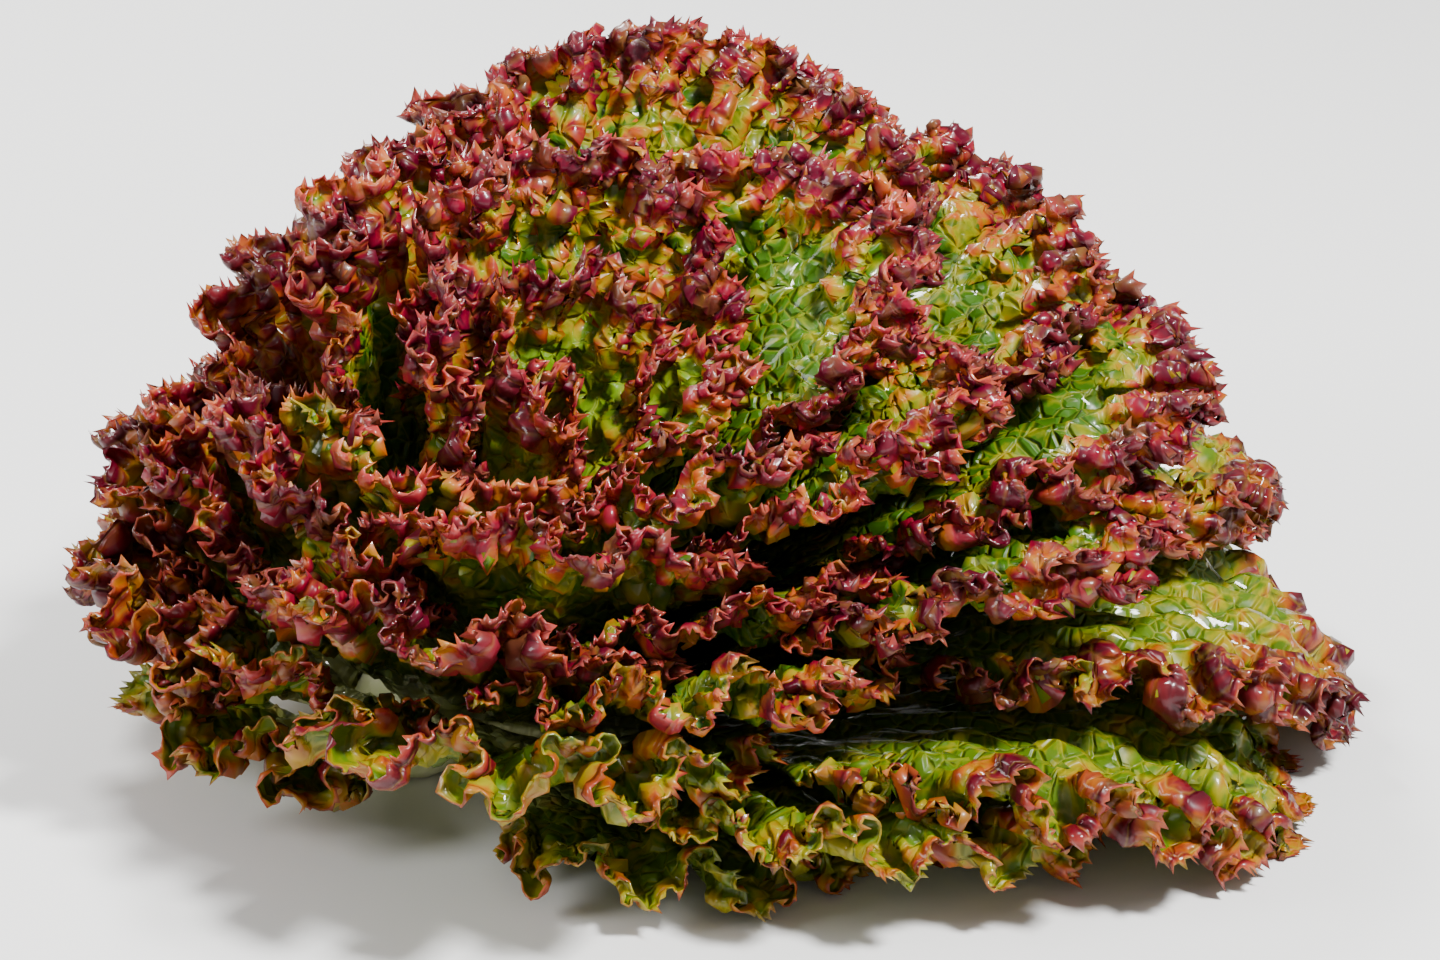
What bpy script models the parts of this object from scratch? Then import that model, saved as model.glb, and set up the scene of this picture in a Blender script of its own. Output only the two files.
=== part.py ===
"""A head of lollo rosso lettuce that has rolled over on its cut stem, onto its lower leaves.

Metres, +Z up. The origin is on the surface, under the middle of the head's box.

The head is a short stem with a rosette of frilled leaves. Each leaf is drawn flat, as a fan of
columns that run from its foot to its margin, and is then laid on a cup round the head's axis.
The cups are one family: an open leaf lies on a wide cup, a heart leaf on a narrow one, so that
leaves nest and never cross. The margin's waves fill the room that the neighbours leave.
"""

import math
import random

import bmesh
import bpy
import numpy as np

MM = 0.001

# The head has rolled over on its cut stem, to the right and a little to the front.
LEAN_RIGHT = 26.0
LEAN_FRONT = 7.0
LOW_SIDE = 318.0  # the azimuth that the head leans to
LOW_SIDE_CLOSING = 0.32  # the share of their opening that leaves give up there, over the surface
FOOT_LIFT = 9.0 * MM  # from the surface up to the lowest leaf's cup
STEM_DOME_END = 122.0  # where the dome that the leaves stand on gives way to the stump
CUT_RADIUS = 11.5 * MM
CUT_DROP = 7.0 * MM  # from the lowest leaf's cup down to the cut
STEM_LEAFY = 24.0 * MM  # the stretch of stem that carries leaves
STEM_SIDES = 20
STEM_DOME_RINGS = 9
STEM_GAP = 0.8 * MM  # between the stem and each leaf's foot

# The cups. A leaf leaves the stem at its opening angle, stands up a little, then rolls outward.
WIDEST_OPENING = 138.0
FOOT_REACH = 14.0 * MM  # from the cup's own point on the axis to the leaf's foot
CUP_REACH = 150.0 * MM
CUP_RISE = 1.45
CUP_ROLL = 1.50
CUP_PARTS = 24

# The flat leaf, as shares of its length.
FOOT_HALF_ANGLE = 29.0
NECK_HALF_WIDTH = 0.09
NECK_HEIGHT = 0.42
NECK_DROP = 0.12
BLADE_CENTRE = 0.60
BLADE_DROP = 0.27
BLADE_SWEEP = 2.2  # radians from the blade's tip round to its lowest corner

# The blade and its frills.
WAVE_WIDTH = 13.5 * MM  # from one crest to the next trough along the margin
FEWEST_COLUMNS = 10
FIRST_RING = 29.0 * MM
FIRST_RING_SHARE = 0.4  # the first ring is no further up a short leaf than this
RING_STEP = 42.0 * MM
FEWEST_RINGS = 2
BLADE_THICK = 1.1 * MM
FOOT_THICK = 3.2 * MM
FOOT_TAPER = 3
RIB_THICK = 1.6 * MM
RIB_TAPER = 1.5
RIB_HALF_WIDTH = 5.0 * MM
THICKNESS_ROOM = 0.62  # a blade is no thicker than this share of the way to the next leaf
WAVE_HEIGHT = 10.5 * MM
LOWEST_WAVE = 0.6  # the lowest of a margin's uneven waves, as a share of the highest
STEEPEST_WAVE = 0.7  # a wave's height, as a share of the way to the next column
WAVE_GROWTH = 2.4  # the power by which waves grow from the foot to the margin
WAVE_ROOM = 0.45  # the share of the room between leaves that a wave takes
WAVE_CLEARANCE = 2.4 * MM
MARGIN_SCALLOP = 0.045
OPEN_ROOM = 24.0 * MM  # the room for waves where a leaf has no neighbour
COVER_MARGIN = 10.0  # degrees past a leaf's edge that still count as beside it
LENGTH_MARGIN = 6.0 * MM
FLOOR_SOFTNESS = 6.0 * MM  # how gradually a leaf that meets the surface bends along it
FLOOR_SINK = 4.4 * MM
PRESSED = 0.3 * MM  # a face this low lies on the surface
PRESSED_HEIGHT = 14.0 * MM  # waves flatten below this height

# name, azimuth and opening in degrees, length and half width in millimetres.
# Azimuth 0 is the head's right, 90 its back, 180 its left and 270 its front.
LEAVES = (
    ("outer_leaf_left_low", 204, 130, 55, 33),
    ("outer_leaf_front_right", 324, 137, 100, 40),
    ("outer_leaf_back_left_low", 136, 126, 78, 42),
    ("outer_leaf_right_front", 338, 124, 138, 52),
    ("outer_leaf_back_right_low", 60, 128, 144, 62),
    ("outer_leaf_front", 287, 113, 98, 43),
    ("outer_leaf_left", 170, 115, 74, 44),
    ("outer_leaf_right_low", 352, 115.5, 180, 60),
    ("outer_leaf_back_low", 100, 109, 106, 54),
    ("outer_leaf_right", 13, 103, 204, 66),
    ("outer_leaf_left_back", 144, 101, 84, 44),
    ("outer_leaf_right_behind", 73, 99.5, 158, 47),
    ("leaf_front_right", 315, 97.5, 104, 44),
    ("leaf_left_front", 220, 106.5, 62, 38),
    ("outer_leaf_right_back", 37, 93, 208, 68),
    ("leaf_front", 266, 89, 84, 40),
    ("leaf_right", 0, 87.5, 150, 52),
    ("leaf_left_back", 156, 88, 80, 42),
    ("outer_leaf_back_right", 61, 83, 204, 66),
    ("inner_leaf_right_front", 334, 81.5, 100, 40),
    ("leaf_right_back", 26, 76.5, 170, 60),
    ("outer_leaf_back_left", 118, 78, 102, 48),
    ("leaf_left", 198, 74, 76, 40),
    ("inner_leaf_front", 286, 67, 86, 38),
    ("leaf_back_right", 50, 70, 168, 58),
    ("outer_leaf_back", 84, 65, 136, 56),
    ("inner_leaf_right", 8, 62, 124, 42),
    ("leaf_back", 74, 57, 150, 54),
    ("inner_leaf_left", 218, 57.5, 70, 36),
    ("leaf_back_left", 126, 53, 104, 46),
    ("inner_leaf_right_heart", 336, 51, 94, 32),
    ("inner_leaf_back_right", 48, 46, 128, 42),
    ("heart_leaf_front", 262, 41.5, 62, 23),
    ("inner_leaf_back", 98, 39, 108, 38),
    ("inner_leaf_left_back", 156, 34, 80, 30),
    ("heart_leaf_right", 20, 30, 84, 26),
    ("heart_leaf_back", 100, 24.5, 84, 24),
    ("heart_leaf_left", 210, 18.5, 68, 18),
    ("heart_leaf_bud", 138, 12, 64, 13),
)

# kind of piece: red, green, blue and roughness
COLOURS = {
    "outer_leaf": ((0.24, 0.06, 0.05), 0.42),
    "leaf": ((0.26, 0.05, 0.06), 0.40),
    "inner_leaf": ((0.30, 0.06, 0.07), 0.38),
    "heart_leaf": ((0.34, 0.28, 0.05), 0.42),
    "stem": ((0.72, 0.74, 0.50), 0.55),
}


def cup(opening, reach):
    """The radius and height of the cup's profile at these reaches, and its slope from the axis."""
    opening = np.asarray(opening, dtype=float)
    reach = np.asarray(reach, dtype=float)
    parts = (np.arange(CUP_PARTS) + 0.5) / CUP_PARTS
    slope = opening[..., None] * bend(reach[..., None] * parts / CUP_REACH)
    foot = STEM_LEAFY * (1.0 - opening / math.radians(WIDEST_OPENING))
    radius = reach * np.sin(slope).mean(axis=-1)
    height = reach * np.cos(slope).mean(axis=-1) + foot
    return radius, height, opening * bend(reach / CUP_REACH)


def bend(share):
    return 1.0 - CUP_RISE * share + CUP_ROLL * share**2


def closing(azimuth):
    """How much of its opening a leaf keeps on this side of the head."""
    toward = (1.0 + np.cos(azimuth - math.radians(LOW_SIDE))) / 2
    return 1.0 - LOW_SIDE_CLOSING * toward


def flat_leaf(length, half_width, columns, rings):
    """Reach and turn, from the leaf's foot, of each crossing of a ring and a column of the flat leaf."""
    across = columns[None, :]
    along = rings[:, None]
    foot_turn = math.radians(FOOT_HALF_ANGLE) * across
    foot = FOOT_REACH * np.sin(foot_turn), FOOT_REACH * np.cos(foot_turn)
    neck = NECK_HALF_WIDTH * length * across, NECK_HEIGHT * length * (1 - NECK_DROP * across**2)
    sweep = BLADE_SWEEP * across
    upper = length * (1.0 - BLADE_CENTRE)
    drop = np.where(np.cos(sweep) > 0, upper, BLADE_DROP * length)
    scallop = np.cos(math.pi * np.arange(columns.size))[None, :]
    scallop = 1.0 + MARGIN_SCALLOP * scallop * (1.0 - across**2)
    margin = (
        half_width * np.sin(sweep) * scallop,
        BLADE_CENTRE * length + drop * np.cos(sweep) * scallop,
    )
    x, y = (
        (1 - along) ** 2 * a + 2 * along * (1 - along) * b + along**2 * c
        for a, b, c in zip(foot, neck, margin)
    )
    return np.hypot(x, y), np.arctan2(x, y)


def column_count(length, half_width):
    """Enough columns for the margin to fold into waves of about one width."""
    around = BLADE_SWEEP * (half_width + length * (1 - BLADE_CENTRE)) + NECK_HEIGHT * length
    return max(FEWEST_COLUMNS, 2 * round(around / WAVE_WIDTH / 2))


def ring_shares(length):
    """The rings' places from the foot, at 0, to the margin, at 1. All leaves share the first bend."""
    beyond = max(FEWEST_RINGS, round(length / RING_STEP))
    first = min(FIRST_RING / length, FIRST_RING_SHARE)
    return np.concatenate(([0.0], np.linspace(first, 1.0, beyond + 1)))


class Leaf:
    """One leaf's place in the head, before its waves."""

    def __init__(self, name, azimuth, opening, length, half_width):
        self.name = name
        self.azimuth = math.radians(azimuth)
        self.opening = math.radians(opening)
        self.length = length * MM
        chance = random.Random(name)
        self.columns = np.linspace(-1.0, 1.0, column_count(self.length, half_width * MM) + 1)
        self.heights = [chance.uniform(LOWEST_WAVE, 1.0) for _ in self.columns]
        self.rings = ring_shares(self.length)
        self.reach, turn = flat_leaf(self.length, half_width * MM, self.columns, self.rings)
        mean_opening = self.opening * closing(self.azimuth)
        self.swing = turn * self.reach / cup(np.full(self.reach.shape, mean_opening), self.reach)[0]
        self.closing = closing(self.azimuth + self.swing)
        self.radius, self.height, self.slope = cup(self.opening * self.closing, self.reach)
        self.ring_reach = self.reach.min(axis=1)
        self.ring_swing = np.abs(self.swing).max(axis=1)

    def placed(self, wave):
        """The crossings in the head's own axes, moved off the cup by these waves."""
        radius = self.radius + wave * np.cos(self.slope)
        height = self.height - wave * np.sin(self.slope)
        azimuth = self.azimuth + self.swing
        return np.stack([radius * np.cos(azimuth), radius * np.sin(azimuth), height], axis=-1)

    def covers(self, azimuth, reach):
        """Whether this leaf lies over or under these places."""
        edge = np.interp(reach, np.maximum.accumulate(self.ring_reach), self.ring_swing)
        away = np.abs((azimuth - self.azimuth + math.pi) % (2 * math.pi) - math.pi)
        near = away < edge + math.radians(COVER_MARGIN)
        return near & (reach < self.length + LENGTH_MARGIN)


def rooms(leaf, leaves):
    """How far each crossing is from the nearest leaf inside and the nearest leaf outside."""
    inner = np.minimum(leaf.radius, OPEN_ROOM)
    outer = np.full(leaf.reach.shape, OPEN_ROOM)
    for other in leaves:
        if other is leaf:
            continue
        radius, height, _ = cup(other.opening * leaf.closing, leaf.reach)
        gap = (radius - leaf.radius) * np.cos(leaf.slope) - (height - leaf.height) * np.sin(leaf.slope)
        covered = other.covers(leaf.azimuth + leaf.swing, leaf.reach)
        inner = np.where(covered & (gap < 0), np.minimum(inner, -gap), inner)
        outer = np.where(covered & (gap > 0), np.minimum(outer, gap), outer)
    return inner, outer


def column_gaps(points):
    """How far apart the columns of a grid of points run, at each crossing."""
    along, across = np.gradient(points, axis=0), np.gradient(points, axis=1)
    area = np.linalg.norm(np.cross(across, along), axis=-1)
    return area / np.linalg.norm(along, axis=-1)


def waved(leaf, leaves):
    """The leaf's middle surface with its waves, and its thickness, in the head's own axes."""
    inner, outer = rooms(leaf, leaves)
    sign = np.where(np.arange(leaf.columns.size) % 2 == 0, 1.0, -1.0)[None, :]
    rings = leaf.rings[:, None]
    highest = np.minimum(WAVE_HEIGHT, STEEPEST_WAVE * column_gaps(leaf.placed(0.0)))
    free = np.clip(WAVE_ROOM * (np.where(sign > 0, outer, inner) - WAVE_CLEARANCE), 0, highest)
    wave = sign * free * np.array(leaf.heights)[None, :] * rings**WAVE_GROWTH
    wave *= np.clip(lift(leaf.placed(0.0)) / PRESSED_HEIGHT, 0.0, 1.0)
    points = leaf.placed(wave)
    side = leaf.reach * np.sin(leaf.swing * leaf.radius / leaf.reach)
    rib = RIB_THICK * np.exp(-((side / RIB_HALF_WIDTH) ** 2)) * (1 - rings) ** RIB_TAPER
    thick = BLADE_THICK + (FOOT_THICK - BLADE_THICK) * (1 - rings) ** FOOT_TAPER + rib
    limit = np.maximum(THICKNESS_ROOM * np.minimum(inner, outer), BLADE_THICK)
    return points, np.minimum(thick, limit)


def head_axes():
    """The head's own right, back and up, as columns."""
    up = np.array([math.sin(math.radians(LEAN_RIGHT)), -math.sin(math.radians(LEAN_FRONT)), 0.0])
    up[2] = math.sqrt(1 - up @ up)
    right = np.array([1.0, 0.0, 0.0]) - up[0] * up
    right /= np.linalg.norm(right)
    return np.stack([right, np.cross(up, right), up], axis=1)


def lift(points):
    """How high these points of the head stand, where nothing holds them up."""
    return points @ head_axes()[2] + FOOT_LIFT


def stood(points, lowest=0.0):
    """Points of the head set on the surface, where what would sink is pressed flat."""
    placed = points @ head_axes().T
    height = lift(points)
    soft = (height + np.sqrt(height**2 + FLOOR_SOFTNESS**2)) / 2 - FLOOR_SINK
    placed[..., 2] = np.maximum(soft, lowest)
    return placed


def grid_normals(points):
    """The normal at each crossing of a grid of points."""
    along, across = np.gradient(points, axis=0), np.gradient(points, axis=1)
    normal = np.cross(across, along)
    return normal / np.linalg.norm(normal, axis=-1, keepdims=True)


def leaf_mesh(name, points, offset):
    """A closed blade: both faces split into triangles alike, and a rim round them."""
    rings, columns = points.shape[:2]
    mesh = bmesh.new()
    faces = []
    for side in (1.0, -1.0):
        corners = points + side * offset
        corners[..., 2] = np.where(corners[..., 2] > PRESSED, corners[..., 2], 0.0)
        faces.append([[mesh.verts.new(corner) for corner in row] for row in corners])
    upper, lower = faces
    for i in range(rings - 1):
        for j in range(columns - 1):
            quad = ((i, j), (i, j + 1), (i + 1, j + 1), (i + 1, j))
            for triangle in ((quad[0], quad[1], quad[2]), (quad[0], quad[2], quad[3])):
                mesh.faces.new([upper[a][b] for a, b in triangle])
                mesh.faces.new([lower[a][b] for a, b in reversed(triangle)])
    round_edge = [(0, j) for j in range(columns - 1)]
    round_edge += [(i, columns - 1) for i in range(rings - 1)]
    round_edge += [(rings - 1, j) for j in range(columns - 1, 0, -1)]
    round_edge += [(i, 0) for i in range(rings - 1, 0, -1)]
    for here, there in zip(round_edge, round_edge[1:] + round_edge[:1]):
        (a, b), (c, d) = here, there
        mesh.faces.new((upper[a][b], lower[a][b], lower[c][d]))
        mesh.faces.new((upper[a][b], lower[c][d], upper[c][d]))
    bmesh.ops.recalc_face_normals(mesh, faces=mesh.faces)
    return finish_mesh(name, mesh)


def stem_mesh(name):
    """The stem: a dome that the leaves' feet stand on, over a short stump cut level with the surface."""
    openings = np.radians(np.linspace(0.0, STEM_DOME_END, STEM_DOME_RINGS))
    radii, heights, _ = cup(openings, np.full(openings.shape, FOOT_REACH - STEM_GAP))
    profile = list(zip(radii, heights))
    turns = [2 * math.pi * k / STEM_SIDES for k in range(STEM_SIDES)]
    mesh = bmesh.new()
    top = mesh.verts.new(stood(np.array([0.0, 0.0, profile[0][1]])))
    rows = []
    for radius, height in profile[1:]:
        ring = [np.array([radius * math.cos(t), radius * math.sin(t), height]) for t in turns]
        rows.append([mesh.verts.new(stood(point)) for point in ring])
    cut = [np.array([CUT_RADIUS * math.cos(t), CUT_RADIUS * math.sin(t), -CUT_DROP]) for t in turns]
    rows.append([mesh.verts.new(stood(point)) for point in cut])
    for k in range(STEM_SIDES):
        after = (k + 1) % STEM_SIDES
        mesh.faces.new((top, rows[0][k], rows[0][after]))
        for above, below in zip(rows, rows[1:]):
            mesh.faces.new((above[k], below[k], below[after], above[after]))
    mesh.faces.new(reversed(rows[-1]))
    bmesh.ops.recalc_face_normals(mesh, faces=mesh.faces)
    return finish_mesh(name, mesh)


def finish_mesh(name, mesh):
    data = bpy.data.meshes.new(name)
    mesh.to_mesh(data)
    mesh.free()
    kind = next(kind for kind in COLOURS if name.startswith(kind))
    data.materials.append(material(kind, *COLOURS[kind]))
    thing = bpy.data.objects.new(name, data)
    bpy.context.scene.collection.objects.link(thing)
    return thing


def material(kind, colour, roughness):
    made = bpy.data.materials.get(kind)
    if made is None:
        made = bpy.data.materials.new(kind)
        made.use_nodes = True
        surface = made.node_tree.nodes["Principled BSDF"]
        surface.inputs["Base Color"].default_value = (*colour, 1.0)
        surface.inputs["Roughness"].default_value = roughness
    return made


def centre(things):
    """Moves the head across the surface until the middle of its box is over the origin."""
    corners = np.array([corner.co for thing in things for corner in thing.data.vertices])
    middle = (corners.min(axis=0) + corners.max(axis=0)) / 2
    for thing in things:
        for corner in thing.data.vertices:
            corner.co.x -= middle[0]
            corner.co.y -= middle[1]


def main():
    for thing in list(bpy.data.objects):
        bpy.data.objects.remove(thing)
    leaves = [Leaf(*row) for row in LEAVES]
    made = [stem_mesh("stem")]
    for leaf in leaves:
        points, thick = waved(leaf, leaves)
        smooth = grid_normals(stood(leaf.placed(0.0), thick / 2))
        made.append(leaf_mesh(leaf.name, stood(points, thick / 2), smooth * thick[..., None] / 2))
    centre(made)


main()
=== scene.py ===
"""The looks of a head of lollo rosso lettuce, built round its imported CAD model.

Each leaf of the model is replaced by a finer one on the same cup, with the same main waves.
Blisters, crumples, crimps and teeth are added, most of them towards its margin, and its colours
follow the distance from the margin and from the foot.
"""

import math
import random

import bpy
import numpy as np
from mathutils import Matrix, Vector


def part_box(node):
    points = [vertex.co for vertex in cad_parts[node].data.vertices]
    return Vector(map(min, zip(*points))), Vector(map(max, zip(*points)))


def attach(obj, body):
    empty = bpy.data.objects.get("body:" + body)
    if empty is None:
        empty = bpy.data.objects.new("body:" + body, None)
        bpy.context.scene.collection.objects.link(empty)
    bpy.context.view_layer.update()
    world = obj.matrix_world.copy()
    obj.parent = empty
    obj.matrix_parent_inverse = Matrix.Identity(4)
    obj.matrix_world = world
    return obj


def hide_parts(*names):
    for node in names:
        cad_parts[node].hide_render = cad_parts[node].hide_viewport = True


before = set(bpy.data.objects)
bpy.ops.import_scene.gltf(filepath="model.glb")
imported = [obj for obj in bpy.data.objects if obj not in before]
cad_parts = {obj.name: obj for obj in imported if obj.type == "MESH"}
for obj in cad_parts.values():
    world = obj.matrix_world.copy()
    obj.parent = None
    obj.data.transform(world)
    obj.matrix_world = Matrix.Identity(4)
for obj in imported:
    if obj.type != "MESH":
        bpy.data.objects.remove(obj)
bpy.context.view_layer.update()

MM = 0.001

# The head's place and its cups, as in the CAD model.
LEAN_RIGHT = 26.0
LEAN_FRONT = 7.0
LOW_SIDE = 318.0  # the azimuth that the head leans to
LOW_SIDE_CLOSING = 0.32  # the share of their opening that leaves give up there
FOOT_LIFT = 9.0 * MM  # from the surface up to the lowest leaf's cup
STEM_DOME_END = 122.0  # where the dome that the leaves stand on gives way to the stump
CUT_RADIUS = 11.5 * MM
CUT_DROP = 7.0 * MM  # from the lowest leaf's cup down to the cut
STEM_LEAFY = 24.0 * MM  # the stretch of stem that carries leaves
STEM_SIDES = 20
STEM_DOME_RINGS = 9
STEM_GAP = 0.8 * MM  # between the stem and each leaf's foot
WIDEST_OPENING = 138.0
FOOT_REACH = 14.0 * MM  # from the cup's own point on the axis to the leaf's foot
CUP_REACH = 150.0 * MM
CUP_RISE = 1.45
CUP_ROLL = 1.50
CUP_PARTS = 24

# The flat leaf and its main waves, as in the CAD model.
FOOT_HALF_ANGLE = 29.0
NECK_HALF_WIDTH = 0.09
NECK_HEIGHT = 0.42
NECK_DROP = 0.12
BLADE_CENTRE = 0.60
BLADE_DROP = 0.27
BLADE_SWEEP = 2.2  # radians from the blade's tip round to its lowest corner
WAVE_WIDTH = 13.5 * MM  # from one crest to the next trough along the margin
FEWEST_COLUMNS = 10
FIRST_RING = 29.0 * MM
FIRST_RING_SHARE = 0.4
RING_STEP = 42.0 * MM
FEWEST_RINGS = 2
WAVE_HEIGHT = 10.5 * MM
LOWEST_WAVE = 0.6  # the lowest of a margin's uneven waves, as a share of the highest
STEEPEST_WAVE = 0.7  # a wave's height, as a share of the way to the next column
WAVE_GROWTH = 2.4  # the power by which waves grow from the foot to the margin
WAVE_CLEARANCE = 2.4 * MM
MARGIN_SCALLOP = 0.045
OPEN_ROOM = 24.0 * MM  # the room for waves where a leaf has no neighbour
COVER_MARGIN = 10.0  # degrees past a leaf's edge that still count as beside it
LENGTH_MARGIN = 6.0 * MM
FLOOR_SOFTNESS = 6.0 * MM  # how gradually a leaf that meets the surface bends along it
FLOOR_SINK = 4.4 * MM
PRESSED_HEIGHT = 14.0 * MM  # waves flatten below this height

# The main waves take more of the room here than in the CAD model, and curl over.
WAVE_ROOM = 0.50
MEANDER = 0.17
MEANDER_GROWTH = 3.0

# The blade's thickness, which tapers to nothing at the margin.
BLADE_THICK = 0.5 * MM
FOOT_THICK = 3.2 * MM
FOOT_TAPER = 3
RIB_THICK = 1.8 * MM
RIB_HALF_WIDTH = 4.0 * MM
RIB_TAPER = 1.5
THICKNESS_ROOM = 0.62  # a blade is no thicker than this share of the way to the next leaf

# The finer mesh.
COLUMN_STEP = 0.53 * MM  # along the folded margin
MEASURE_STEPS = 40  # places per main wave at which the folded margin is measured
MEASURE_RINGS = (0.97, 1.0)
FIRST_STEP = 0.55 * MM  # from the margin to the next ring
STEP_GROWTH = 1.075
LONGEST_STEP = 6.0 * MM
RING_BANDS = (4, 8, 8)  # rings from the margin inward before the columns halve again

# By slot, how long and how high the finer waves and crumples are, against the values below.
FRILL = {
    "outer_leaf": (1.45, 1.05),
    "leaf": (1.0, 1.0),
    "inner_leaf": (0.92, 1.0),
    "heart_leaf": (0.8, 0.8),
}
# Blisters, the low swellings between the veins.
BLISTER_HEIGHT = 1.3 * MM
BLISTER_STEP = 9.0 * MM
BLISTER_WAVES = 3
BLISTER_SPREAD = 0.3  # how much longer each of these waves is than the last
# Crumples, alike in every direction: their size, their height and how far in they reach.
CRUMPLES = (
    (16.0 * MM, 1.5 * MM, 44.0 * MM),
    (9.0 * MM, 1.2 * MM, 32.0 * MM),
    (5.0 * MM, 0.75 * MM, 20.0 * MM),
)
CRUMPLE_ROOM = 0.22  # the share of the room that the largest of them takes
CRUMPLE_WAVES = 9
CRUMPLE_CREST = 1.5  # how high their crests stand over their creases
CRUMPLE_SIDEWAYS = 0.35  # their push along the leaf, as a share of the push off it
CRUMPLE_INSIDE = 0.4  # how much of them is left far in from the margin
CRUMPLE_MARGIN = 0.35  # and at the margin itself
MARGIN_BAND = 5.0 * MM
# Crimps, the finer waves: length along the margin, height, and how far in they reach.
CRIMPS = (
    (7.2 * MM, 1.9 * MM, 21.0 * MM),
    (3.9 * MM, 1.05 * MM, 9.0 * MM),
    (2.1 * MM, 0.36 * MM, 3.5 * MM),
)
CRIMP_ROOM = 0.26  # the share of the room that the highest of them takes
CRIMP_FADE = 1.6
CRIMP_CURL = 0.38  # how far they curl over, as a share of their height
CRIMP_DRIFT = 4  # lengths of a crimp over which its phase wanders
CRIMP_SLANT = 1.6
CRIMP_SLANT_DRIFT = 3  # lengths over which its slant wanders
CRIMP_UNEVEN = (0.72, 0.42)  # the middle of its uneven height, and how far it strays
CRIMP_UNEVEN_DRIFT = 1.3  # lengths over which its height wanders
# Teeth along the margin.
TOOTH_LONG = 2.4 * MM
TOOTH_SHORT = 0.7 * MM
TOOTH_LEAN = 0.5
TEETH_APART = (2, 3, 3, 4, 5)  # columns from one tooth to the next

# name, azimuth and opening in degrees, length and half width in millimetres.
# Azimuth 0 is the head's right, 90 its back, 180 its left and 270 its front.
LEAVES = (
    ("outer_leaf_left_low", 204, 130, 55, 33),
    ("outer_leaf_front_right", 324, 137, 100, 40),
    ("outer_leaf_back_left_low", 136, 126, 78, 42),
    ("outer_leaf_right_front", 338, 124, 138, 52),
    ("outer_leaf_back_right_low", 60, 128, 144, 62),
    ("outer_leaf_front", 287, 113, 98, 43),
    ("outer_leaf_left", 170, 115, 74, 44),
    ("outer_leaf_right_low", 352, 115.5, 180, 60),
    ("outer_leaf_back_low", 100, 109, 106, 54),
    ("outer_leaf_right", 13, 103, 204, 66),
    ("outer_leaf_left_back", 144, 101, 84, 44),
    ("outer_leaf_right_behind", 73, 99.5, 158, 47),
    ("leaf_front_right", 315, 97.5, 104, 44),
    ("leaf_left_front", 220, 106.5, 62, 38),
    ("outer_leaf_right_back", 37, 93, 208, 68),
    ("leaf_front", 266, 89, 84, 40),
    ("leaf_right", 0, 87.5, 150, 52),
    ("leaf_left_back", 156, 88, 80, 42),
    ("outer_leaf_back_right", 61, 83, 204, 66),
    ("inner_leaf_right_front", 334, 81.5, 100, 40),
    ("leaf_right_back", 26, 76.5, 170, 60),
    ("outer_leaf_back_left", 118, 78, 102, 48),
    ("leaf_left", 198, 74, 76, 40),
    ("inner_leaf_front", 286, 67, 86, 38),
    ("leaf_back_right", 50, 70, 168, 58),
    ("outer_leaf_back", 84, 65, 136, 56),
    ("inner_leaf_right", 8, 62, 124, 42),
    ("leaf_back", 74, 57, 150, 54),
    ("inner_leaf_left", 218, 57.5, 70, 36),
    ("leaf_back_left", 126, 53, 104, 46),
    ("inner_leaf_right_heart", 336, 51, 94, 32),
    ("inner_leaf_back_right", 48, 46, 128, 42),
    ("heart_leaf_front", 262, 41.5, 62, 23),
    ("inner_leaf_back", 98, 39, 108, 38),
    ("inner_leaf_left_back", 156, 34, 80, 30),
    ("heart_leaf_right", 20, 30, 84, 26),
    ("heart_leaf_back", 100, 24.5, 84, 24),
    ("heart_leaf_left", 210, 18.5, 68, 18),
    ("heart_leaf_bud", 138, 12, 64, 13),
)
SLOTS = ("outer_leaf", "inner_leaf", "heart_leaf", "leaf", "stem")

# How far the red reaches in from the margin, by slot.
RED_DEPTH = {
    "outer_leaf": 48.0 * MM,
    "leaf": 32.0 * MM,
    "inner_leaf": 26.0 * MM,
    "heart_leaf": 16.0 * MM,
}
# How much less red some leaves are: two pale flaps on the left, the front and the lowest leaves.
LESS_RED = {
    "inner_leaf_left": 0.5,
    "leaf_left_front": 0.35,
    "leaf_front_right": 0.40,
    "outer_leaf_front_right": 0.55,
    "outer_leaf_right_front": 0.45,
    "outer_leaf_front": 0.45,
    "outer_leaf_left_low": 0.35,
    "outer_leaf_left": 0.12,
    "outer_leaf_right_low": 0.20,
}
LOW_LESS_RED = 0.2  # and all leaves this much, from the first of these openings to the second
LOW_OPENING = 104.0
LOWEST_OPENING = 124.0
GREEN_SIDE = 325.0  # the azimuth where the red reaches in least
GREEN_SIDE_SHARE = 0.62
MARGIN_RED = 1.05
OUTER_RED = 0.9  # the outer face's red against the inner face's
OUTER_PALE = 1.2
PALE_SHARE = 0.30  # the share of the leaf's length over which its pale foot fades
PALE_FADE = 0.8
RAISED_RED = 0.34  # how much redder the crests of the crumples are than their hollows
RAISED_HEIGHT = 1.6 * MM
# The margin's tip is paler: partly its own colour and partly a painted highlight.
PALE_TIP_AND_HIGHLIGHT_LENGTH = 0.8 * MM
PALE_TIP_AND_HIGHLIGHT_SPREAD = 16.0 * MM
PALE_TIP_AND_HIGHLIGHT_STRENGTH = (0.35, 0.75)  # the middle of the uneven strength of the margin's pale tip and painted highlight, and how far it strays

# The stem's finer mesh, and the rings of its cut: share of the rim's radius, depth.
CUT_SIDES = 64
DOME_START = 2.0
DOME_RINGS = 22
CUT_RINGS = (
    (0.96, 0.2 * MM),
    (0.8, 0.9 * MM),
    (0.6, 1.3 * MM),
    (0.4, 1.5 * MM),
    (0.2, 1.6 * MM),
    (0.08, 1.6 * MM),
)

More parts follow.
